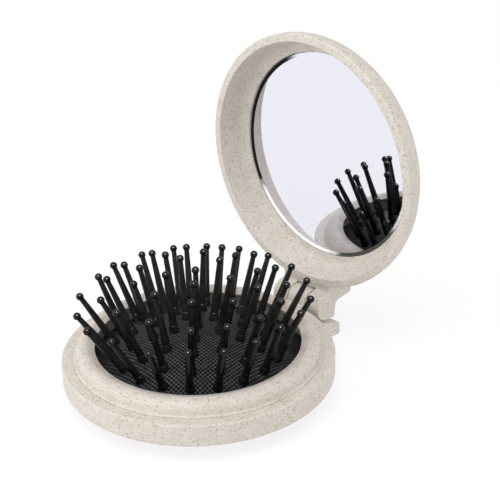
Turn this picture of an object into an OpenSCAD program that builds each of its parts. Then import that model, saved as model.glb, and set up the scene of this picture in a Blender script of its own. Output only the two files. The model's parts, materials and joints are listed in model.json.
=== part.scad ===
// Folding pocket hairbrush: round base with a pop-up rubber cushion of ball-tipped
// bristles and a hinged lid that holds a round mirror. Drawn with the lid standing open.
// Origin: on the table, under the middle of the open brush's outer size. +Z up, +Y towards the hinge.

/* [Base] */

// outer radius of the base
base_r = 34; // [28:0.5:45]

// height of the bottom edge of the outer wall above the table
wall_z = 4.4; // [2:0.1:8]

// height of the flat land the shut lid sits on
land_z = 10.3; // [8:0.1:16]

// inner radius of that land
land_r = 31.4; // [25:0.1:40]

// outer radius of the standing boss under the base
boss_r = 26.5; // [20:0.5:30]

// radius of the opening in the underside
well_r = 22.2; // [18:0.1:25]

// radius of the opening the cushion is seen through
mouth_r = 25.6; // [20:0.1:30]

// height of the lip of that opening
lip_z = 13.1; // [11:0.1:16]

/* [Cushion and bristles] */

// radius of the sphere the popped-up cushion follows
dome_r = 43.8; // [30:0.1:90]

// height of the middle of the cushion
dome_z = 16.6; // [14:0.1:20]

// thickness of the rubber
skin = 0.8; // [0.6:0.1:2]

// distance from the rubber to the middle of the ball tip
bristle_l = 15.7; // [10:0.1:18]

// radius of the ball tip
ball_r = 0.96; // [0.6:0.02:1.3]

// radius of the bristle just under its tip
neck_r = 0.64; // [0.3:0.02:0.8]

// radius of the bristle above its foot
shank_r = 0.96; // [0.5:0.02:1]

// radius of the circle of the outer bristles' feet
row_r1 = 20.7; // [18:0.1:21]

// radius of the third row of feet
row_r2 = 16.4; // [14:0.1:18]

// radius of the second row of feet
row_r3 = 11.1; // [9:0.1:13]

// radius of the inner row of feet
row_r4 = 5.9; // [4:0.1:8]

/* [Lid] */

// outer radius of the lid
lid_r = 33.7; // [28:0.1:45]

// height of the shut lid over its rim
lid_h = 9.6; // [8:0.1:14]

// radius of the lid's round back edge
lid_round = 8.4; // [3:0.1:9]

// inner radius of the lid's rim land
rim_r = 31.6; // [25:0.1:40]

// radius of the mirror
mirror_r = 27.4; // [20:0.1:30]

// depth of the mirror face below the rim
mirror_d = 7.4; // [5:0.1:10]

// angle from shut to the open stop
open_angle = 89.6; // [0:0.1:120]

/* [Hinge] */

// distance of the hinge axis behind the middle of the base
hinge_y = 38.6; // [36:0.1:48]

// height of the hinge axis
hinge_z = 9.8; // [8:0.1:14]

// radius of the knuckles
knuckle_r = 3.5; // [2.5:0.1:5]

// half width of the whole hinge
hinge_w = 8.3; // [6:0.1:12]

// half width of the knuckle on the base
middle_w = 3; // [2:0.1:5]

// radius of the hinge pin
pin_r = 1; // [0.6:0.05:1.5]

/* [Hidden] */

$fn = 96;
$fa = 4;
e = 0.01;
dome_c = dome_z - dome_r;
flange_z = dome_c + sqrt(dome_r * dome_r - 26 * 26);
seat_z = flange_z - skin;
lid_z = land_z + 0.05;
lid_top = lid_z + lid_h;
mirror_z = lid_z + mirror_d;
middle_y = (hinge_y + lid_top - hinge_z - base_r) / 2;
outer_count = 20;
outer_phase = 6;

// moves a piece drawn about the base's axis so that the whole open brush is centred
module placed() {
    translate([0, -middle_y, 0]) children();
}

// a solid of revolution about the base's axis
module turned() {
    rotate_extrude($fn = 180) children();
}

// places the lid's pieces, drawn shut, at the open stop
module opened() {
    translate([0, hinge_y, hinge_z]) rotate([-open_angle, 0, 0])
        translate([0, -hinge_y, -hinge_z]) children();
}

// a slab drawn as a side profile (Y, Z) and centred on X, reaching half width w
module side_slab(w, points) {
    translate([-w, 0, 0]) rotate([90, 0, 90]) linear_extrude(2 * w) polygon(points);
}

// a round bar along X on the hinge axis
module axle(r, x0, x1) {
    translate([x0, hinge_y, hinge_z]) rotate([0, 90, 0]) cylinder(r = r, h = x1 - x0, $fn = 64);
}

// moves a bristle to its place on the dome
module on_dome(r, a) {
    rotate([0, 0, a]) translate([0, 0, dome_c]) rotate([0, asin(r / dome_r), 0])
        translate([0, 0, dome_r]) children();
}

// one bristle: flat head below the rubber, neck, flared foot, tapering shank, ball tip
module bristle() {
    translate([0, 0, -skin - 0.3]) cylinder(r = 0.9, h = 0.27, $fn = 32);
    translate([0, 0, -skin - 0.1]) cylinder(r = 0.6, h = skin + 0.3, $fn = 32);
    translate([0, 0, 0.03]) cylinder(r1 = 1.25, r2 = 1.1, h = 2, $fn = 32);
    translate([0, 0, 2]) cylinder(r1 = shank_r, r2 = neck_r, h = bristle_l - 2.3, $fn = 32);
    translate([0, 0, bristle_l]) sphere(r = ball_r, $fn = 32);
}

module row(r, n, phase) {
    for (i = [0 : n - 1]) on_dome(r, phase + i * 360 / n) bristle();
}

module row_holes(r, n, phase) {
    for (i = [0 : n - 1]) on_dome(r, phase + i * 360 / n)
        translate([0, 0, -2]) cylinder(r = 0.65, h = 4, $fn = 32);
}

// base moulding: outer wall, seat for the cushion, standing boss, hinge block and knuckle
module base_shell() {
    color([0.88, 0.84, 0.78]) placed() difference() {
        union() {
            turned() polygon([
                [well_r, 0], [boss_r - 0.6, 0], [boss_r, 0.6], [boss_r, 5.4],
                [base_r - 2, 5.4], [base_r - 2, wall_z + 0.3], [base_r - 1.7, wall_z],
                [base_r - 0.7, wall_z], [base_r - 0.2, wall_z + 0.25], [base_r, wall_z + 0.8],
                [base_r, land_z - 0.35], [base_r - 0.12, land_z - 0.1], [base_r - 0.35, land_z],
                [land_r + 0.15, land_z], [land_r, land_z - 0.15], [land_r, seat_z],
                [boss_r - 1.1, seat_z], [boss_r - 1.1, 1.2], [well_r, 1.2]]);
            side_slab(hinge_w, [[32.6, 5.4], [32.6, 4.4], [39.8, 0], [43.6, 0], [44.1, 0.5],
                [43.8, 3.4], [36.5, 6.0], [34.5, 6.8], [32.6, 7.4]]);
            side_slab(middle_w, [[32.6, 5], [36.5, 5.6], [41.4, 4.0], [41.9, 7.2],
                [hinge_y + 3.3, hinge_z], [hinge_y, hinge_z], [35.8, hinge_z + 0.1],
                [32.6, hinge_z + 0.2]]);
            axle(knuckle_r, -middle_w, middle_w);
        }
        axle(pin_r, -middle_w - 1, middle_w + 1);
    }
}

// raised ring that clamps the cushion's flange and frames the opening
module bristle_ring() {
    color([0.9, 0.86, 0.8]) placed() turned() difference() {
        union() {
            polygon([[27.4, flange_z], [31.1, flange_z], [31.1, 10.9], [28.2, 13.8],
                [26.9, 13.72], [mouth_r + 0.1, lip_z + 0.05], [mouth_r, lip_z - 0.05],
                [mouth_r, lip_z - 0.4], [27.4, lip_z - 1.1]]);
            intersection() {
                translate([28.2, 10.9]) circle(r = 2.9, $fn = 96);
                translate([27.4, 10.2]) square([4, 4]);
            }
        }
        translate([31.05, 8.9]) square([1, 0.5]);
    }
}

// rubber cushion, domed when popped up, with a flange clamped round its edge
module rubber_dome() {
    color([0.08, 0.08, 0.08]) placed() difference() {
        union() {
            intersection() {
                difference() {
                    translate([0, 0, dome_c]) sphere(r = dome_r, $fn = 180);
                    translate([0, 0, dome_c]) sphere(r = dome_r - skin, $fn = 180);
                }
                translate([0, 0, seat_z]) cylinder(r = 26, h = 20, $fn = 180);
            }
            translate([0, 0, seat_z]) difference() {
                cylinder(r = 31.3, h = skin, $fn = 180);
                translate([0, 0, -1]) cylinder(r = 25.6, h = skin + 2, $fn = 180);
            }
        }
        on_dome(0, 0) translate([0, 0, -2]) cylinder(r = 0.65, h = 4, $fn = 32);
        row_holes(row_r4, 5, 23);
        row_holes(row_r3, 10, 24);
        row_holes(row_r2, 15, 0);
        row_holes(row_r1, outer_count, outer_phase);
    }
}

// hard disc under the middle of the cushion, pressed from below to pop the bristles up
module push_button() {
    color([0.86, 0.82, 0.76]) placed() difference() {
        union() {
            translate([0, 0, dome_z - 2.9]) cylinder(r = 8.6, h = 0.85, $fn = 96);
            translate([0, 0, dome_z - 2.2]) cylinder(r = 4, h = 0.8, $fn = 64);
        }
        translate([0, 0, dome_z - 2.9 - 30 + 0.35]) sphere(r = 30, $fn = 96);
    }
}

module centre_bristle() {
    color([0.05, 0.05, 0.05]) placed() on_dome(0, 0) bristle();
}

module inner_row() {
    color([0.05, 0.05, 0.05]) placed() row(row_r4, 5, 23);
}

module second_row() {
    color([0.05, 0.05, 0.05]) placed() row(row_r3, 10, 24);
}

module third_row() {
    color([0.05, 0.05, 0.05]) placed() row(row_r2, 15, 0);
}

module outer_bristle(k) {
    color([0.05, 0.05, 0.05]) placed()
        on_dome(row_r1, outer_phase + (k - 1) * 360 / outer_count) bristle();
}

// steel pin pressed through the base's knuckle, its ends hidden in the lid's knuckles
module hinge_pin() {
    color([0.7, 0.7, 0.72]) placed() axle(pin_r, -7, 7);
}

// lid moulding: bowl, rim land, tapering inner wall, hinge block and two knuckles
module lid_shell() {
    color([0.88, 0.84, 0.78]) placed() opened() difference() {
        union() {
            turned() {
                polygon([[rim_r + 0.15, lid_z], [lid_r - 0.35, lid_z], [lid_r - 0.1, lid_z + 0.1],
                    [lid_r, lid_z + 0.35], [lid_r, lid_top - lid_round],
                    [31.2, lid_top - lid_round], [rim_r, lid_z + 0.15]]);
                translate([0, lid_top - 1.1]) square([lid_r - lid_round + e, 1.1]);
                intersection() {
                    translate([lid_r - lid_round, lid_top - lid_round]) circle(r = lid_round, $fn = 180);
                    polygon([[lid_r - lid_round, lid_top - 1.1], [mirror_r + 0.15, lid_top - 1.1],
                        [mirror_r + 0.15, mirror_z - 0.25], [mirror_r + 0.9, mirror_z - 0.5],
                        [29.4, mirror_z - 1.5], [30.3, mirror_z - 3], [31.0, mirror_z - 5],
                        [31.2, lid_top - lid_round], [lid_r + 1, lid_top - lid_round],
                        [lid_r + 1, lid_top + 1], [lid_r - lid_round, lid_top + 1]]);
                }
            }
            side_slab(hinge_w, [[31.9, lid_z + 0.3], [34.6, lid_z + 0.3], [36.4, hinge_z + 2.2],
                [hinge_y, hinge_z + 3.4], [37.9, hinge_z + 4.3], [37.3, lid_top - 0.8],
                [36.9, lid_top - 0.3], [34.5, lid_top - 0.9], [30, lid_top - 1.9]]);
            for (s = [-1, 1]) {
                axle(knuckle_r, s < 0 ? -hinge_w : middle_w + 0.25, s < 0 ? -middle_w - 0.25 : hinge_w);
                translate([s * (hinge_w + middle_w + 0.25) / 2, 0, 0])
                    side_slab((hinge_w - middle_w - 0.25) / 2, [[hinge_y, hinge_z + 0.2],
                        [hinge_y + 3.2, hinge_z + 0.9], [hinge_y + 3.9, hinge_z + 2.6],
                        [hinge_y + 3.2, hinge_z + 3.1], [hinge_y + 0.2, hinge_z + 3.45]]);
            }
        }
        axle(knuckle_r + 0.3, -middle_w - 0.25, middle_w + 0.25);
        axle(pin_r + 0.05, -7.2, 7.2);
    }
}

// glass disc with a bevelled edge
module mirror() {
    color([0.85, 0.88, 0.92]) placed() opened() turned() polygon([[0, mirror_z], [mirror_r - 0.8, mirror_z],
        [mirror_r, mirror_z + 0.3], [mirror_r, mirror_z + 0.85], [0, mirror_z + 0.85]]);
}

// thin sticky foam disc that holds the mirror in the lid
module mirror_pad() {
    color([0.8, 0.8, 0.78]) placed() opened() translate([0, 0, mirror_z + 0.85])
        cylinder(r = 24, h = lid_top - 1.1 - mirror_z - 0.85, $fn = 96);
}

base_shell();
bristle_ring();
rubber_dome();
push_button();
centre_bristle();
inner_row();
second_row();
third_row();
outer_bristle(1);  // outer_bristle_01
outer_bristle(2);  // outer_bristle_02
outer_bristle(3);  // outer_bristle_03
outer_bristle(4);  // outer_bristle_04
outer_bristle(5);  // outer_bristle_05
outer_bristle(6);  // outer_bristle_06
outer_bristle(7);  // outer_bristle_07
outer_bristle(8);  // outer_bristle_08
outer_bristle(9);  // outer_bristle_09
outer_bristle(10);  // outer_bristle_10
outer_bristle(11);  // outer_bristle_11
outer_bristle(12);  // outer_bristle_12
outer_bristle(13);  // outer_bristle_13
outer_bristle(14);  // outer_bristle_14
outer_bristle(15);  // outer_bristle_15
outer_bristle(16);  // outer_bristle_16
outer_bristle(17);  // outer_bristle_17
outer_bristle(18);  // outer_bristle_18
outer_bristle(19);  // outer_bristle_19
outer_bristle(20);  // outer_bristle_20
hinge_pin();
lid_shell();
mirror();
mirror_pad();
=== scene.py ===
# A folding pocket hairbrush: round base with a rubber dome of ball-tipped bristles,
# hinged lid with a mirror. It stands open on a pale studio floor.
import json
import math

import bmesh
import bpy
from mathutils import Matrix, Vector


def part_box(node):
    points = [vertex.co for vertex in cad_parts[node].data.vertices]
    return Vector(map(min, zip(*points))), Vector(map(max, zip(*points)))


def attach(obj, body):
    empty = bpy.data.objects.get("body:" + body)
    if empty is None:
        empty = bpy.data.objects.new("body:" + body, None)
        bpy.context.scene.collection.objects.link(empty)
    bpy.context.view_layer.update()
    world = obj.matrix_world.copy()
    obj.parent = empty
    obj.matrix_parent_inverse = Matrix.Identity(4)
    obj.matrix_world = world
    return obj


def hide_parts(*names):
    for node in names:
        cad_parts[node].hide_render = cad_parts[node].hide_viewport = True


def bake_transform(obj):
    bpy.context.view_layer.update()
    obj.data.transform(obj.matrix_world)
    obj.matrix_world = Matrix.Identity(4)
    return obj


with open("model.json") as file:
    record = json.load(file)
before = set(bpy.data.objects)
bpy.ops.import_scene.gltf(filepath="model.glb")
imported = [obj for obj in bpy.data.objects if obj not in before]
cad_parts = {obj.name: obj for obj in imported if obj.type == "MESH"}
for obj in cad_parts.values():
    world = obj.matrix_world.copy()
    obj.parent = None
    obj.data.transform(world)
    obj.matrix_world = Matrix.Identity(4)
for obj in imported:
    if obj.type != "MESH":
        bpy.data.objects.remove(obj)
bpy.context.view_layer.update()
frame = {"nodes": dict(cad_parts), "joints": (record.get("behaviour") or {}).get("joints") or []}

wideSteps = 256  # facets round the big parts
mm = 0.001  # sizes are in millimetres unless a note says metres, and meshes are made in metres


# the box of a CAD node, in millimetres
def boxOf(node):
    low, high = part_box(node)
    return [v / mm for v in low], [v / mm for v in high]


# what the frame gives
ringLow, ringHigh = boxOf("bristle_ring")
shellHigh = boxOf("base_shell")[1]
domeHigh = boxOf("rubber_dome")[1]
pinLow, pinHigh = boxOf("hinge_pin")
lidHigh = boxOf("lid_shell")[1]
mirrorLow, mirrorHigh = boxOf("mirror")
centreY = (ringLow[1] + ringHigh[1]) / 2  # the base's axis, in the row frame
hingeY = (pinLow[1] + pinHigh[1]) / 2 - centreY
hingeZ = (pinLow[2] + pinHigh[2]) / 2
lidJoint = next(j for j in frame["joints"] if j["name"] == "lid_hinge")
openAngle = math.radians(max(lidJoint["range_deg"]))


# turns corners (a, b) or (a, b, radius) into a closed path with true round corners
def rounded(corners, stepDegrees=10):
    path = []
    count = len(corners)
    for k, corner in enumerate(corners):
        here = Vector(corner[:2])
        radius = corner[2] if len(corner) > 2 else 0
        if not radius:
            path.append(here)
            continue
        toLast = (Vector(corners[k - 1][:2]) - here).normalized()
        toNext = (Vector(corners[(k + 1) % count][:2]) - here).normalized()
        half = toLast.angle(toNext) / 2
        centre = here + (toLast + toNext).normalized() * radius / math.sin(half)
        start = here + toLast * radius / math.tan(half) - centre
        turn = (math.pi - 2 * half) * (-1 if start.x * toLast.y > start.y * toLast.x else 1)
        steps = max(2, math.ceil(math.degrees(abs(turn)) / stepDegrees))
        for s in range(steps + 1):
            a = turn * s / steps
            path.append(centre + Vector((
                start.x * math.cos(a) - start.y * math.sin(a),
                start.x * math.sin(a) + start.y * math.cos(a))))
    return path


# spins a path of (radius, height) round Z
def spin(path, steps, closed=True, start=0.0, sweep=360.0):
    bm = bmesh.new()
    whole = abs(sweep - 360.0) < 1e-6
    columns = steps if whole else steps + 1
    grid = []
    for point in path:
        if abs(point[0]) < 1e-6:
            pole = bm.verts.new((0, 0, point[1]))
            grid.append([pole] * columns)
            continue
        row = []
        for c in range(columns):
            a = math.radians(start + sweep * c / steps)
            row.append(bm.verts.new((point[0] * math.cos(a), point[0] * math.sin(a), point[1])))
        grid.append(row)
    last = len(grid) if closed else len(grid) - 1
    for k in range(last):
        upper, lower = grid[k], grid[(k + 1) % len(grid)]
        for c in range(steps):
            d = (c + 1) % columns
            corners = []
            for v in (upper[c], upper[d], lower[d], lower[c]):
                if v not in corners:
                    corners.append(v)
            if len(corners) > 2:
                bm.faces.new(corners)
    bmesh.ops.recalc_face_normals(bm, faces=bm.faces)
    return bm


# extrudes a side outline of (y, z) from x0 to x1, with rounded ends
def slab(x0, x1, path, edge):
    bm = bmesh.new()
    ends = [[bm.verts.new((x, p[0], p[1])) for p in path] for x in (x0, x1)]
    caps = [bm.faces.new(ends[0]), bm.faces.new(ends[1][::-1])]
    for k in range(len(path)):
        n = (k + 1) % len(path)
        bm.faces.new((ends[0][k], ends[0][n], ends[1][n], ends[1][k]))
    bmesh.ops.recalc_face_normals(bm, faces=bm.faces)
    rim = [e for cap in caps for e in cap.edges]
    bmesh.ops.bevel(bm, geom=rim, offset=edge, segments=3, profile=0.5, affect="EDGES")
    return bm


# a bar along X on the hinge axis, with rounded ends
def bar(x0, x1, radius, edge):
    path = rounded([(0, x0), (radius, x0, edge), (radius, x1, edge), (0, x1)])
    bm = spin(path, 64, closed=False)
    bm.transform(Matrix.Translation((0, hingeY, hingeZ)) @ Matrix.Rotation(math.pi / 2, 4, "Y"))
    return bm


# several meshes as one
def merged(parts):
    whole = bmesh.new()
    for part in parts:
        mesh = bpy.data.meshes.new("part")
        part.to_mesh(mesh)
        part.free()
        whole.from_mesh(mesh)
        bpy.data.meshes.remove(mesh)
    return whole


# hard edges stay crisp and the rest is smooth
def crease(bm, degrees=32):
    for face in bm.faces:
        face.smooth = True
    for edge in bm.edges:
        if len(edge.link_faces) == 2:
            edge.smooth = edge.calc_face_angle(0) < math.radians(degrees)


opened = (Matrix.Translation((0, hingeY, hingeZ)) @ Matrix.Rotation(-openAngle, 4, "X")
          @ Matrix.Translation((0, -hingeY, -hingeZ)))
toRow = Matrix.Scale(mm, 4) @ Matrix.Translation((0, centreY, 0))


# makes the object, gives it its finish and sets it on its body
def piece(name, bm, finish, node, body=None, lidSide=False, also=(), seat=None):
    crease(bm)
    if seat:
        bm.transform(seat)
    bm.transform(toRow @ opened if lidSide else toRow)
    mesh = bpy.data.meshes.new(name)
    bm.to_mesh(mesh)
    bm.free()
    obj = bpy.data.objects.new(name, mesh)
    bpy.context.scene.collection.objects.link(obj)
    for made in [finish] + list(also):
        mesh.materials.append(made)
    if body:
        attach(obj, body)
    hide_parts(node)
    return obj


class Value:
    # wraps a socket, so that shader maths reads like ordinary maths
    def __init__(self, tree, socket):
        self.tree = tree
        self.socket = socket

    def maths(self, operation, first, second=0.5):
        node = self.tree.nodes.new("ShaderNodeMath")
        node.operation = operation
        for entry, value in zip(node.inputs, (first, second)):
            if isinstance(value, Value):
                self.tree.links.new(value.socket, entry)
            else:
                entry.default_value = value
        return Value(self.tree, node.outputs[0])

    def __add__(self, other):
        return self.maths("ADD", self, other)

    def __radd__(self, other):
        return self.maths("ADD", other, self)

    def __sub__(self, other):
        return self.maths("SUBTRACT", self, other)

    def __rsub__(self, other):
        return self.maths("SUBTRACT", other, self)

    def __mul__(self, other):
        return self.maths("MULTIPLY", self, other)

    def __rmul__(self, other):
        return self.maths("MULTIPLY", other, self)

    def __gt__(self, other):
        return self.maths("GREATER_THAN", self, other)

    def __lt__(self, other):
        return self.maths("LESS_THAN", self, other)

    def cosine(self):
        return self.maths("COSINE", self)

    def atLeast(self, other):
        return self.maths("MAXIMUM", self, other)


class Finish:
    # a node tree and the few ways this script adds nodes to it
    def __init__(self, owner):
        owner.use_nodes = True
        self.owner = owner
        self.tree = owner.node_tree
        self.tree.nodes.clear()

    # one node of any kind: settings first, then the values or links of its sockets
    def add(self, kind, settings=None, sockets=None, output=0):
        node = self.tree.nodes.new("ShaderNode" + kind)
        for key, value in (settings or {}).items():
            setattr(node, key, value)
        for key, value in (sockets or {}).items():
            if isinstance(value, Value):
                self.tree.links.new(value.socket, node.inputs[key])
            else:
                node.inputs[key].default_value = value
        return Value(self.tree, node.outputs[output]) if node.outputs else node

    def place(self):
        return self.add("TexCoord", output="Object")

    # noise whose blobs are about size millimetres across
    def noise(self, place, size, detail=2.0, rough=0.5):
        return self.add("TexNoise", {}, {"Vector": place, "Scale": 1 / (size * mm),
                                         "Detail": detail, "Roughness": rough})

    # 0 below low, 1 above high, smooth between
    def ramp(self, value, low, high, outLow=0.0, outHigh=1.0):
        return self.add("MapRange", {"interpolation_type": "SMOOTHSTEP"}, {
            "Value": value, "From Min": low, "From Max": high, "To Min": outLow, "To Max": outHigh})

    def colours(self, factor, first, second):
        return self.add("Mix", {"data_type": "RGBA"}, {0: factor, 6: first, 7: second}, 2)

    # place, turned and stretched, for streaks
    def stretched(self, place, turn, scale):
        return self.add("Mapping", {}, {"Vector": place, "Rotation": turn, "Scale": scale})

    def surface(self, sockets):
        shader = self.add("BsdfPrincipled", {}, sockets)
        self.add("OutputMaterial", {}, {"Surface": shader})
        return self.owner


def colour(red, green, blue):
    return (red, green, blue, 1.0)


# warm cream moulding plastic filled with ground straw
def creamFinish():
    made = Finish(bpy.data.materials.new("creamPlastic"))
    look = {
        "pale": colour(0.640, 0.598, 0.543),
        "warm": colour(0.565, 0.518, 0.458),
        "straw": colour(0.33, 0.245, 0.165),
        "speck": colour(0.17, 0.135, 0.11),
        "strawEdge": (0.637, 0.71),  # higher gives fewer straws
        "strawShare": 0.62,
        "speckEdge": (0.12, 0.25),   # inner and outer size of a speck in its cell
        "speckCell": 1.0,
        "speckChance": 0.68,
        "speckShare": 0.65,
        "rough": 0.48,
        "grainDepth": 0.03 * mm,
    }
    place = made.place()
    cloud = made.noise(place, 4.0, 3.0, 0.6)
    grain = made.noise(place, 0.6, 3.0, 0.65)
    patches = made.ramp(cloud * 0.4 + grain * 0.6, 0.34, 0.66)
    body = made.colours(patches, look["pale"], look["warm"])
    # short straw fibres lying two ways, and rounder chips
    strawA = made.noise(made.stretched(place, (0.3, 0.2, 0.5), (1.0, 0.3, 1.0)), 0.42, 1.0)
    strawB = made.noise(made.stretched(place, (0.1, 0.6, -0.7), (0.35, 1.0, 1.0)), 0.38, 1.0)
    chips = made.noise(made.stretched(place, (0.9, 0.4, 0.2), (1.0, 1.0, 0.7)), 0.62, 2.0)
    straw = made.ramp(strawA.atLeast(strawB).atLeast(chips), *look["strawEdge"])
    body = made.colours(straw * look["strawShare"], body, look["straw"])
    # a few dark specks
    cell = {"Vector": place, "Scale": 1 / (look["speckCell"] * mm)}
    cells = made.add("TexVoronoi", {}, cell)
    picked = made.add("TexVoronoi", {}, cell, "Color")
    chance = made.add("SeparateColor", {}, {"Color": picked})
    speck = made.ramp(cells, *look["speckEdge"], 1.0, 0.0) * (chance > look["speckChance"])
    body = made.colours(speck * look["speckShare"], body, look["speck"])
    height = grain * 0.6 + straw * 0.4
    bump = made.add("Bump", {}, {"Height": height, "Strength": 0.3, "Distance": look["grainDepth"]})
    rough = made.ramp(grain, 0.3, 0.7, look["rough"] - 0.05, look["rough"] + 0.06)
    return made.surface({"Base Color": body, "Roughness": rough, "Normal": bump,
                         "Specular IOR Level": 0.35})


dome = {
    "radius": 43.8,     # sphere the rubber follows
    "topZ": domeHigh[2],
    "skin": 0.8,
    "edgeR": 26.0,      # where the dome meets its flange
    "flangeR": domeHigh[0],
    "ridgePitch": 0.8,
}


# black rubber with a fine crosshatch of raised ridges; the ridges are painted lighter, unevenly, as
# a painted highlight
def rubberFinish():
    made = Finish(bpy.data.materials.new("blackRubber"))
    look = {
        "valley": colour(0.0015, 0.0015, 0.0015),
        "ridge": colour(0.17, 0.17, 0.178),
        "ridgeEdge": (0.76, 1.0),  # closer to 1 gives narrower ridges
        "ridgeHeight": 0.16 * mm,
        "rough": (0.34, 0.48),
        "shine": 0.06,
    }
    place = made.place()
    across = 2 * math.pi / (dome["ridgePitch"] * mm)
    waves = [(made.add("SeparateXYZ", {}, {"Vector": place}, axis) * across).cosine()
             for axis in ("X", "Y")]
    ridges = made.ramp(waves[0].atLeast(waves[1]), *look["ridgeEdge"])
    wearAndSheen = made.noise(place, 1.6, 3.0)
    patchySheen = made.ramp(wearAndSheen, 0.25, 0.7, 0.5, 1.0)
    # painted highlight: the ridge tops get a lighter colour, patchy across the dome
    body = made.colours(ridges * patchySheen, look["valley"], look["ridge"])
    bump = made.add("Bump", {}, {"Height": ridges, "Strength": 0.7,
                                 "Distance": look["ridgeHeight"]})
    rough = made.ramp(wearAndSheen, 0.3, 0.7, *look["rough"])
    return made.surface({"Base Color": body, "Roughness": rough, "Normal": bump,
                         "Specular IOR Level": look["shine"]})


# glossy black moulded nylon
def nylonFinish():
    made = Finish(bpy.data.materials.new("blackNylon"))
    look = {
        "dark": colour(0.002, 0.002, 0.002),
        "light": colour(0.004, 0.004, 0.0045),
        "rough": (0.08, 0.13),
        "rippleDepth": 0.02 * mm,
        "shine": 0.13,
    }
    place = made.place()
    drift = made.noise(place, 2.4, 3.0)
    fine = made.noise(place, 0.35, 2.0)
    body = made.colours(made.ramp(drift, 0.3, 0.7), look["dark"], look["light"])
    bump = made.add("Bump", {}, {"Height": fine, "Strength": 0.12,
                                 "Distance": look["rippleDepth"]})
    return made.surface({"Base Color": body, "Normal": bump,
                         "Roughness": made.ramp(drift, 0.3, 0.7, *look["rough"]),
                         "Specular IOR Level": look["shine"]})


# silvered glass: even tint, faint smears
def mirrorFinish(name, tint, roughness):
    made = Finish(bpy.data.materials.new(name))
    smear = made.noise(made.place(), 9.0, 4.0)
    rough = made.ramp(smear, 0.45, 0.8, roughness, roughness + 0.012)
    return made.surface({"Base Color": tint, "Metallic": 1.0, "Roughness": rough})


silverTint = colour(0.80, 0.80, 0.875)


# the slanted edge of the glass, silver with painted reflections: a painted dark reflection at the
# left, a painted white reflection of the floor low down and a painted dark reflection again at its
# foot's right end; each pair is where a band starts and where it is full, from the mirror's middle
def bevelFinish():
    made = Finish(bpy.data.materials.new("mirrorBevelPaintedReflection"))
    look = {
        "side": (-10, -14),
        "foot": (-12.5, -15.5),
        "footRight": (1, 6),
        "wander": 5,
        "paintedDarkReflection": colour(0.012, 0.011, 0.010),
        "paintedFloorReflection": colour(0.95, 0.95, 0.95),
        "paintedDarkReflectionRight": colour(0.03, 0.028, 0.026),
    }
    place = made.place()
    smear = made.noise(place, 3.0, 3.0)
    wander = (smear - 0.5) * look["wander"] * mm
    across = made.add("SeparateXYZ", {}, {"Vector": place}, "X") + wander
    height = made.add("SeparateXYZ", {}, {"Vector": place}, "Z") + wander
    middle = (mirrorLow[2] + mirrorHigh[2]) / 2
    paintedDarkSideMask = made.ramp(across, *(v * mm for v in look["side"]))
    lower = made.ramp(height, *((middle + v) * mm for v in look["foot"]))
    paintedDarkRightMask = made.ramp(across, *(v * mm for v in look["footRight"]))
    # painted reflection: the dark bands and the matt white floor band are painted into the bevel's
    # colour
    body = made.colours(paintedDarkSideMask, silverTint, look["paintedDarkReflection"])
    foot = made.colours(paintedDarkRightMask, look["paintedFloorReflection"], look["paintedDarkReflectionRight"])
    body = made.colours(lower, body, foot)
    return made.surface({"Base Color": body, "Metallic": 1 - lower,
                         "Roughness": made.ramp(smear, 0.3, 0.7, 0.05, 0.12)})


# drawn steel wire
def steelFinish():
    made = Finish(bpy.data.materials.new("pinSteel"))
    draw = made.noise(made.stretched(made.place(), (0, 0, 0), (0.05, 1, 1)), 0.12, 2.0)
    return made.surface({"Base Color": colour(0.62, 0.62, 0.63), "Metallic": 1.0,
                         "Roughness": made.ramp(draw, 0.3, 0.7, 0.25, 0.42)})


# white foam tape with open cells, the cell hollows painted darker as painted shade
def foamFinish():
    made = Finish(bpy.data.materials.new("foamTape"))
    place = made.place()
    cells = made.add("TexVoronoi", {}, {"Vector": place, "Scale": 1 / (0.4 * mm)})
    # painted shade: darker in the middle of each cell, lighter at its rim
    body = made.colours(made.ramp(cells, 0.1, 0.6),
                        colour(0.52, 0.52, 0.50), colour(0.78, 0.78, 0.76))
    bump = made.add("Bump", {}, {"Height": cells, "Strength": 0.5, "Distance": 0.1 * mm})
    return made.surface({"Base Color": body, "Roughness": 0.85, "Normal": bump})


cream = creamFinish()
rubber = rubberFinish()
nylon = nylonFinish()
silver = mirrorFinish("mirrorFace", silverTint, 0.004)
bevelSilverAndPaintedReflection = bevelFinish()
glassEdge = mirrorFinish("mirrorEdge", colour(0.06, 0.07, 0.07), 0.15)
print("finishes made")

base = {
    "outerR": shellHigh[0],
    "wallZ": 4.4,       # bottom edge of the outer wall
    "landZ": 10.3,      # land the shut lid sits on
    "landR": 31.13,     # inner edge of that land
    "bossR": 26.5,      # ring it stands on
    "wellR": 22.2,      # opening in the underside
    "cavityR": 25.4,
    "floorZ": 1.2,
    "edge": 0.5,        # rounding of the outer edges
}
ring = {
    "outerR": ringHigh[0],
    "topZ": ringHigh[2],
    "mouthR": 25.6,     # opening round the rubber
    "lipZ": 13.1,
    "lipDrop": 0.35,    # thickness of the crisp lip
    "crestR": 27.4,     # inner edge of its rounded top
}
flangeZ = dome["topZ"] - dome["radius"] + math.sqrt(dome["radius"] ** 2 - dome["edgeR"] ** 2)
seatZ = flangeZ - dome["skin"]
rimIn = base["outerR"] - 2.0  # inside face of the hanging wall
bodyPath = rounded([
    (base["wellR"], 0, 0.25), (base["bossR"], 0, 0.6), (base["bossR"], base["wallZ"] + 1, 0.4),
    (rimIn, base["wallZ"] + 1, 0.3), (rimIn, base["wallZ"], 0.3),
    (base["outerR"], base["wallZ"], 0.8), (base["outerR"], base["landZ"], base["edge"]),
    (base["landR"], base["landZ"], 0.05), (base["landR"], seatZ),
    (base["cavityR"], seatZ),
    (base["cavityR"], base["floorZ"]), (base["wellR"], base["floorZ"], 0.2)])
piece("baseBody", spin(bodyPath, wideSteps), cream, "base_shell", "base")

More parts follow.
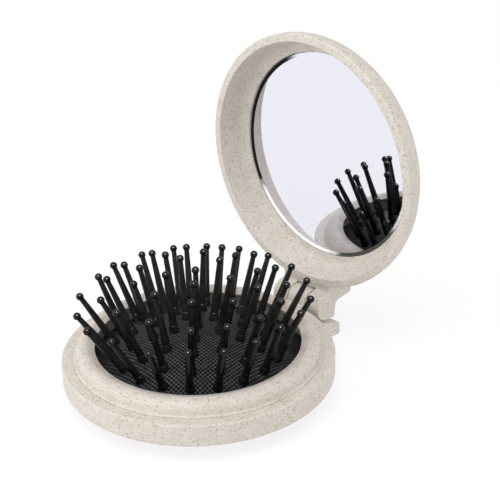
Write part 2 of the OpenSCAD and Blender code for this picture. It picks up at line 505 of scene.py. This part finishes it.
hinge = {
    "radius": 3.5,
    "halfWidth": 8.3,
    "middle": 3.0,      # half the width of the middle knuckle
    "gap": 0.25,
    "edge": 0.3,
    "inset": 0.06,      # keeps the lug's ends from lying flush with the arms'
    # side outline of the foot block: out from the axis, up, and corner radius
    "block": ((32.6, 5.4), (32.6, 4.4), (39.8, 0, 0.8), (43.9, 0, 0.5), (43.9, 3.4, 0.5),
              (36.5, 6.0, 1.5), (34.5, 6.8, 1.0), (32.6, 7.4)),
}
# block that carries the hinge, and the knuckle between the lid's arms
blockPath = rounded(hinge["block"])
piece("hingeBlock", slab(-hinge["halfWidth"], hinge["halfWidth"], blockPath, hinge["edge"]),
      cream, "base_shell", "base")
webPath = rounded([
    (32.6, 5), (36.5, 5.6), (41.2, 4.2, 0.4), (41.9, 7.2, 0.8), (hingeY + 3.3, hingeZ),
    (hingeY, hingeZ + 0.1), (35.8, hingeZ + 0.1, 0.8), (32.6, hingeZ + 0.2)])
knuckle = merged([slab(-hinge["middle"], hinge["middle"], webPath, hinge["edge"] * 0.7),
                  bar(-hinge["middle"], hinge["middle"], hinge["radius"], hinge["edge"])])
piece("baseKnuckle", knuckle, cream, "base_shell", "base")

ringPath = rounded([
    (ring["crestR"], flangeZ, 0.1), (ring["outerR"], flangeZ, 0.15),
    (ring["outerR"], base["landZ"] + 0.12),
    (ring["outerR"] - 0.5, base["landZ"] + 0.35, 0.6),
    (ring["outerR"] - 1.0, ring["topZ"] - 0.1, 2.4), (ring["crestR"], ring["topZ"], 1.2),
    (ring["mouthR"], ring["lipZ"], 0.12), (ring["mouthR"], ring["lipZ"] - ring["lipDrop"], 0.1),
    (ring["crestR"], ring["lipZ"] - 1.1, 0.4)])
piece("bristleRing", spin(ringPath, wideSteps), cream, "bristle_ring", "base")
print("base made")


# height of the rubber's outer face at a distance from the axis
def domeZ(r, radius=dome["radius"]):
    return dome["topZ"] - dome["radius"] + math.sqrt(radius ** 2 - r ** 2)


rows = {  # radius of each circle of feet, number, turn in degrees
    "centreBristle": (0.0, 1, 0),
    "innerRow": (5.9, 5, 23),
    "secondRow": (11.1, 10, 24),
    "thirdRow": (16.4, 15, 0),
    "outerRow": (20.7, 20, 6),
}
# each band lists a blend from the base, at radius start, to the body at its inner edge, at radius
# end; a start beyond the band would leave its outer edge part of that body's travel. The ends are
# worked out below, but nothing uses them or the body
innerR, secondR, thirdR = (rows[row][0] for row in ("innerRow", "secondRow", "thirdRow"))
bands = [
    {"name": "Outer", "inR": thirdR, "outR": dome["edgeR"], "wedges": 24, "body": "third row",
     "start": dome["edgeR"], "end": 18.9},
    {"name": "Middle", "inR": secondR, "outR": thirdR, "wedges": 12, "body": "second row",
     "start": 29.7, "end": secondR},
    {"name": "Inner", "inR": innerR, "outR": secondR, "wedges": 8, "body": "button",
     "start": 29.0, "end": innerR},
]
for band in bands:
    cells = max(4, round((band["outR"] - band["inR"]) / 0.6))
    radii = [band["inR"] + (band["outR"] - band["inR"]) * k / cells for k in range(cells + 1)]
    upper = [Vector((r, domeZ(r))) for r in radii]
    lower = [Vector((r, domeZ(r, dome["radius"] - dome["skin"]))) for r in radii]
    if band["name"] == "Outer":
        upper.append(Vector((dome["flangeR"], flangeZ)))
        lower.append(Vector((dome["flangeR"], seatZ)))
    sweep = 360 / band["wedges"]
    for k in range(band["wedges"]):
        path = upper + lower[::-1] if band["name"] == "Outer" else upper
        arc = {"closed": False, "start": k * sweep, "sweep": sweep}
        bm = spin(path, round(sweep / 2.5), **arc)
        if band["name"] != "Outer":
            under = spin(lower, round(sweep / 2.5), **arc)
            bmesh.ops.reverse_faces(under, faces=under.faces)
            bm = merged([bm, under])
        wedge = piece(f"rubber{band['name']}{k + 1:02d}", bm, rubber, "rubber_dome")
        a = math.radians((k + 0.5) * sweep)
        ends = [(band[key] * math.cos(a) * mm, (band[key] * math.sin(a) + centreY) * mm,
                 flangeZ * mm) for key in ("start", "end")]
        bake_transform(wedge)
capR = [innerR * k / 8 for k in range(9)]
capPath = ([Vector((r, domeZ(r))) for r in capR]
           + [Vector((r, domeZ(r, dome["radius"] - dome["skin"]))) for r in capR[::-1]])
piece("rubberMiddle", spin(capPath, 96, closed=False), rubber, "rubber_dome", "button")
print("rubber dome made")

bristle = {
    "length": 15.7,     # from the rubber to the middle of the ball
    "ballR": 0.96,
    "neckR": 0.64,
    "shankR": 0.98,
    "collarTopR": 1.08,
    "collarFootR": 1.25,
    "collarH": 2.0,
    "headR": 0.9,
    "throughR": 0.6,    # where it passes through the rubber
}
# bristles bent by use, in degrees outwards and degrees sideways; the numbers were worked out by
# a separate program and copied here
bent = {
    "innerRow": {0: (3.9, -0.5), 1: (2.5, 0.4), 2: (3.9, 2.6), 3: (-2.7, 1.1), 4: (-5, -1.1)},
    "secondRow": {0: (3.7, -0.7), 1: (0.5, 4), 3: (-6, 2.3), 6: (0, 2.6), 7: (-7, 4),
                  8: (-4.9, -1.3), 9: (2.2, -3.1)},
    "thirdRow": {0: (1.6, 2.5), 1: (0, 2.9), 2: (-1.3, 5.5), 3: (-4.4, 4.4), 9: (1.6, 3.8),
                 10: (4, 1), 11: (0, 3.7), 12: (-4, 1.2), 13: (0, -3.3)},
    "outerRow": {0: (-5.5, 3.8), 1: (-3.9, 2.9), 2: (-1.2, 4.3), 10: (2.6, 0.7), 11: (-4.4, 1.5),
                 12: (2.5, -1), 13: (5, -2.2), 14: (5, 1.5), 15: (1.3, 2.4), 16: (2.2, -2.8),
                 17: (-1.4, -2.8), 19: (-2.1, 2.3)},
}
ballZ, ballR, neckR = bristle["length"], bristle["ballR"], bristle["neckR"]
neckTurn = math.asin(neckR / ballR)  # where the shank meets the ball
under = -dome["skin"]
bristlePath = rounded([
    (0, under - 0.3), (bristle["headR"], under - 0.3, 0.08), (bristle["headR"], under - 0.03, 0.08),
    (bristle["throughR"], under - 0.03), (bristle["throughR"], 0.03),
    (bristle["collarFootR"], 0.03, 0.05),
    (bristle["collarTopR"], bristle["collarH"], 0.16),
    (bristle["shankR"], bristle["collarH"] + 0.06, 0.04)], 30)
shankTop = ballZ - ballR * math.cos(neckTurn)
for k in range(1, 6):
    t = k / 5
    width = bristle["shankR"] + (neckR - bristle["shankR"]) * t
    bristlePath.append(Vector((width, bristle["collarH"] + (shankTop - bristle["collarH"]) * t)))
for k in range(1, 13):
    a = neckTurn + (math.pi - neckTurn) * k / 12
    bristlePath.append(Vector((ballR * math.sin(a), ballZ - ballR * math.cos(a))))
bristlePath[-1].x = 0


# stands bristle k of a row on the dome, leaning out along the dome's normal and bent a little
def bristleAt(row, k):
    r, count, phase = rows[row]
    out, side = bent.get(row, {}).get(k, (0, 0))
    bm = spin(bristlePath, 28, closed=False)
    # the foot stays upright in the rubber, and the bend grows up to twice the collar's height
    reach = bristle["collarH"] * 2
    for v in bm.verts:
        share = min(1, max(0, v.co.z / reach))
        v.co = (Matrix.Rotation(math.radians(out) * share, 3, "Y")
                @ Matrix.Rotation(math.radians(side) * share, 3, "X") @ v.co)
    bm.transform(Matrix.Rotation(math.radians(phase + 360 * k / count), 4, "Z")
                 @ Matrix.Translation((0, 0, dome["topZ"] - dome["radius"]))
                 @ Matrix.Rotation(math.asin(r / dome["radius"]), 4, "Y")
                 @ Matrix.Translation((0, 0, dome["radius"])))
    return bm


bristlesOnly = bpy.data.collections.new("bristlesOnly")
rowBodies = {"centreBristle": ("centre_bristle", "button"), "innerRow": ("inner_row", "button"),
             "secondRow": ("second_row", "second row"), "thirdRow": ("third_row", "third row")}
for name, (node, body) in rowBodies.items():
    parts = [bristleAt(name, k) for k in range(rows[name][1])]
    bristlesOnly.objects.link(piece(name, merged(parts), nylon, node, body))
for k in range(rows["outerRow"][1]):
    one = piece(f"outerBristle{k + 1:02d}", bristleAt("outerRow", k), nylon,
                f"outer_bristle_{k + 1:02d}", f"outer bristle {k + 1:02d}")
    bristlesOnly.objects.link(one)
print("bristles made")

# push button under the dome
button = {
    "radius": 8.6,
    "thick": 0.85,
    "stemR": 4.0,
    "stemH": 0.65,
    "dish": 0.35,       # depth of the hollow for the thumb
    "dishShare": 0.92,  # how much of the radius the hollow takes
    "drop": 2.9,        # from the top of the rubber down to the button's face
}
buttonZ = dome["topZ"] - button["drop"]
dishR = button["radius"] * button["dishShare"]
dish = [(dishR * k / 10, buttonZ + button["dish"] * (1 - (k / 10) ** 2)) for k in range(11)]
buttonPath = [Vector(p) for p in dish] + rounded([
    (dishR, buttonZ), (button["radius"], buttonZ, 0.25),
    (button["radius"], buttonZ + button["thick"], 0.2),
    (button["stemR"], buttonZ + button["thick"], 0.15),
    (button["stemR"], buttonZ + button["thick"] + button["stemH"], 0.1),
    (0, buttonZ + button["thick"] + button["stemH"])])[1:]
piece("pushButton", spin(buttonPath, 128, closed=False), cream, "push_button", "button")

lid = {
    "outerR": lidHigh[0],
    "rimR": 31.6,       # inner edge of the rim land
    "height": 9.6,
    "edge": 8.4,        # rounding of the back edge
    "skin": 1.1,
    "ledgeR": 29.9,
}
mirror = {
    "radius": mirrorHigh[0],
    "depth": 7.4,       # from the lid's rim to the glass
    "thick": 0.85,
    "round": 0.12,
    "bevel": 0.9,
    "sink": 0.3,        # how far the silver lies behind the edge of the glass
    "seat": 0.12,       # how far the glass sits down in its seat
    "lean": 0.8,        # degrees the glass leans back in its seat
    "turn": -0.2,       # degrees it turns sideways
}
lid["rimZ"] = base["landZ"] + 0.05
lid["topZ"] = lid["rimZ"] + lid["height"]
mirror["faceZ"] = lid["rimZ"] + mirror["depth"]
rimZ, topZ, faceZ = lid["rimZ"], lid["topZ"], mirror["faceZ"]
seatR = mirror["radius"] + 0.15
shellPath = rounded([
    (lid["rimR"], rimZ, 0.22), (lid["outerR"], rimZ, 0.4), (lid["outerR"], topZ, lid["edge"]),
    (0, topZ + 0.15), (0, topZ - lid["skin"]), (seatR, topZ - lid["skin"]),
    (seatR, faceZ - 0.3, 0.12), (lid["ledgeR"], faceZ - 0.75, 2.2)])
piece("lidBowl", spin(shellPath, wideSteps), cream, "lid_shell", "lid", lidSide=True)

lugPath = rounded([
    (31.9, rimZ + 0.3), (34.6, rimZ + 0.3, 0.4), (36.4, hingeZ + 2.2, 0.8),
    (hingeY + 0.2, hingeZ + 3.4, 0.5), (37.9, hingeZ + 4.3, 0.5), (37.2, topZ - 0.3, 0.7),
    (34.5, topZ - 0.9, 1.5), (30, topZ - 1.9)])
lugHalf = hinge["halfWidth"] - hinge["inset"]
piece("lidLug", slab(-lugHalf, lugHalf, lugPath, hinge["edge"]),
      cream, "lid_shell", "lid", lidSide=True)
armIn, armOut = hinge["middle"] + hinge["gap"], hinge["halfWidth"]
heelPath = rounded([
    (hingeY - 1, hingeZ + 0.2), (hingeY + 3.3, hingeZ + 0.4, 0.3),
    (hingeY + 3.9, hingeZ + 2.6, 0.5), (hingeY + 3.1, hingeZ + 3.2, 0.4),
    (hingeY - 1, hingeZ + 3.45)])
cheekPath = rounded([
    (34.0, rimZ + 0.35), (34.7, rimZ + 0.35, 0.3), (hingeY - 3.42, hingeZ - 0.4),
    (hingeY, hingeZ), (36.9, hingeZ + 2.6)])
for side, name in ((-1, "Left"), (1, "Right")):
    x0, x1 = sorted((side * armIn, side * armOut))
    arm = merged([bar(x0, x1, hinge["radius"], hinge["edge"]),
                  slab(x0 + 0.03, x1 - 0.03, heelPath, hinge["edge"]),
                  slab(x0 + 0.05, x1 - 0.05, cheekPath, hinge["edge"])])  # no flush ends
    piece(f"lidArm{name}", arm, cream, "lid_shell", "lid", lidSide=True)

flatR = mirror["radius"] - mirror["bevel"]
silverZ = faceZ + mirror["sink"]
mirrorPath = [Vector(p) for p in (
    (0, silverZ), (flatR * 0.5, silverZ), (flatR - 0.03, silverZ), (flatR, silverZ),
    (mirror["radius"] - mirror["round"], faceZ), (mirror["radius"], faceZ + mirror["round"]),
    (mirror["radius"], faceZ + mirror["thick"]),
    (0, faceZ + mirror["thick"]))]
glass = spin(mirrorPath, wideSteps, closed=False)
mirrorSeat = (Matrix.Translation((0, 0, faceZ + mirror["seat"]))
              @ Matrix.Rotation(-math.radians(mirror["lean"]), 4, "X")
              @ Matrix.Rotation(-math.radians(mirror["turn"]), 4, "Y")
              @ Matrix.Translation((0, 0, -faceZ)))
for face in glass.faces:
    reach = face.calc_center_median().xy.length
    if reach > flatR:
        face.material_index = 1 if face.normal.z < -0.5 else 2
piece("mirrorGlass", glass, silver, "mirror", "lid", lidSide=True,
      also=(bevelSilverAndPaintedReflection, glassEdge), seat=mirrorSeat)
# the pin and the foam keep their CAD shape and only get a finish
for node, finish in (("hinge_pin", steelFinish()), ("mirror_pad", foamFinish())):
    frame["nodes"][node].data.materials.clear()
    frame["nodes"][node].data.materials.append(finish)
print("lid made")

studio = {
    "zenith": 0.68,     # sky overhead
    "horizon": 0.96,
    "floorShade": 0.24,  # a light table: it glows, and its shadows stay faint
    "floorGlow": 0.755,
    "floorSize": 8.0,   # metres
}
lights = {  # place and size in metres, power in watts
    "topLight": {"place": (0.20, -0.34, 1.03), "size": 0.80, "power": 4.9},
    "rightLight": {"place": (1.0, -0.2, 0.8), "size": 0.9, "power": 0.8},
    # reaches the bristles only, for the bright dot on each ball
    "glint": {"place": (0.40, -0.39, 1.05), "size": 0.35, "power": 70.0},
    "sideLight": {"place": (-0.50, -0.95, 0.55), "size": 1.1, "power": 5.2},
}
view = {
    "azimuth": 45.674,  # degrees round from the front towards +X
    "elevation": 25.572,
    "distance": 302.7,
    "roll": -1.118,
    "lens": 86.137,
    "sensor": 36.0,
    "near": 0.01,       # metres, as is far
    "far": 50.0,
    "aim": (-1.267, 12.387, 30.352),
}
scene = bpy.context.scene
scene.view_settings.view_transform = "Standard"
world = bpy.data.worlds.new("studioSky")
scene.world = world
sky = Finish(world)
direction = sky.add("TexCoord", output="Generated")
heightOf = sky.add("SeparateXYZ", {}, {"Vector": direction}, "Z")
strength = sky.ramp(heightOf, -0.1, 0.9, studio["horizon"], studio["zenith"])
back = sky.add("Background", {}, {"Color": colour(1.0, 1.0, 1.0), "Strength": strength})
sky.add("OutputWorld", {}, {"Surface": back})

half = studio["floorSize"] / 2
floorMesh = bpy.data.meshes.new("floor")
floorMesh.from_pydata([(-half, -half, 0), (half, -half, 0), (half, half, 0), (-half, half, 0)],
                      [], [(0, 1, 2, 3)])
floor = bpy.data.objects.new("floor", floorMesh)
scene.collection.objects.link(floor)
paper = Finish(bpy.data.materials.new("floorPaper"))
shade = studio["floorShade"]
fibre = paper.noise(paper.place(), 2.0, 3.0)
paperColour = paper.colours(fibre, colour(shade, shade, shade),
                            colour(shade * 0.985, shade * 0.985, shade * 0.985))
floorMesh.materials.append(paper.surface({
    "Base Color": paperColour, "Roughness": 0.9, "Specular IOR Level": 0.0,
    "Emission Color": colour(1.0, 1.0, 1.0), "Emission Strength": studio["floorGlow"]}))


# a soft square light at a place, aimed at the brush
def softLight(name, place, size, power, only=None):
    lamp = bpy.data.lights.new(name, "AREA")
    lamp.shape = "SQUARE"
    lamp.size = size
    lamp.energy = power
    obj = bpy.data.objects.new(name, lamp)
    obj.location = place
    aim = Vector((0, 0, 0.02)) - Vector(place)
    obj.rotation_euler = aim.to_track_quat("-Z", "Y").to_euler()
    if only:
        obj.light_linking.receiver_collection = only
    scene.collection.objects.link(obj)


for name, light in lights.items():
    softLight(name, **light, only=bristlesOnly if name == "glint" else None)

camera = bpy.data.objects.new("camera", bpy.data.cameras.new("camera"))
scene.collection.objects.link(camera)
scene.camera = camera
camera.data.lens = view["lens"]
camera.data.sensor_width = view["sensor"]
camera.data.clip_start = view["near"]
camera.data.clip_end = view["far"]
azimuth, elevation = math.radians(view["azimuth"]), math.radians(view["elevation"])
outward = Vector((math.sin(azimuth) * math.cos(elevation),
                  -math.cos(azimuth) * math.cos(elevation), math.sin(elevation)))
camera.location = (Vector(view["aim"]) + outward * view["distance"]) * mm
facing = (-outward).to_track_quat("-Z", "Y").to_matrix().to_4x4()
turned = facing @ Matrix.Rotation(math.radians(view["roll"]), 4, "Z")
camera.rotation_euler = turned.to_euler()
print("studio made")
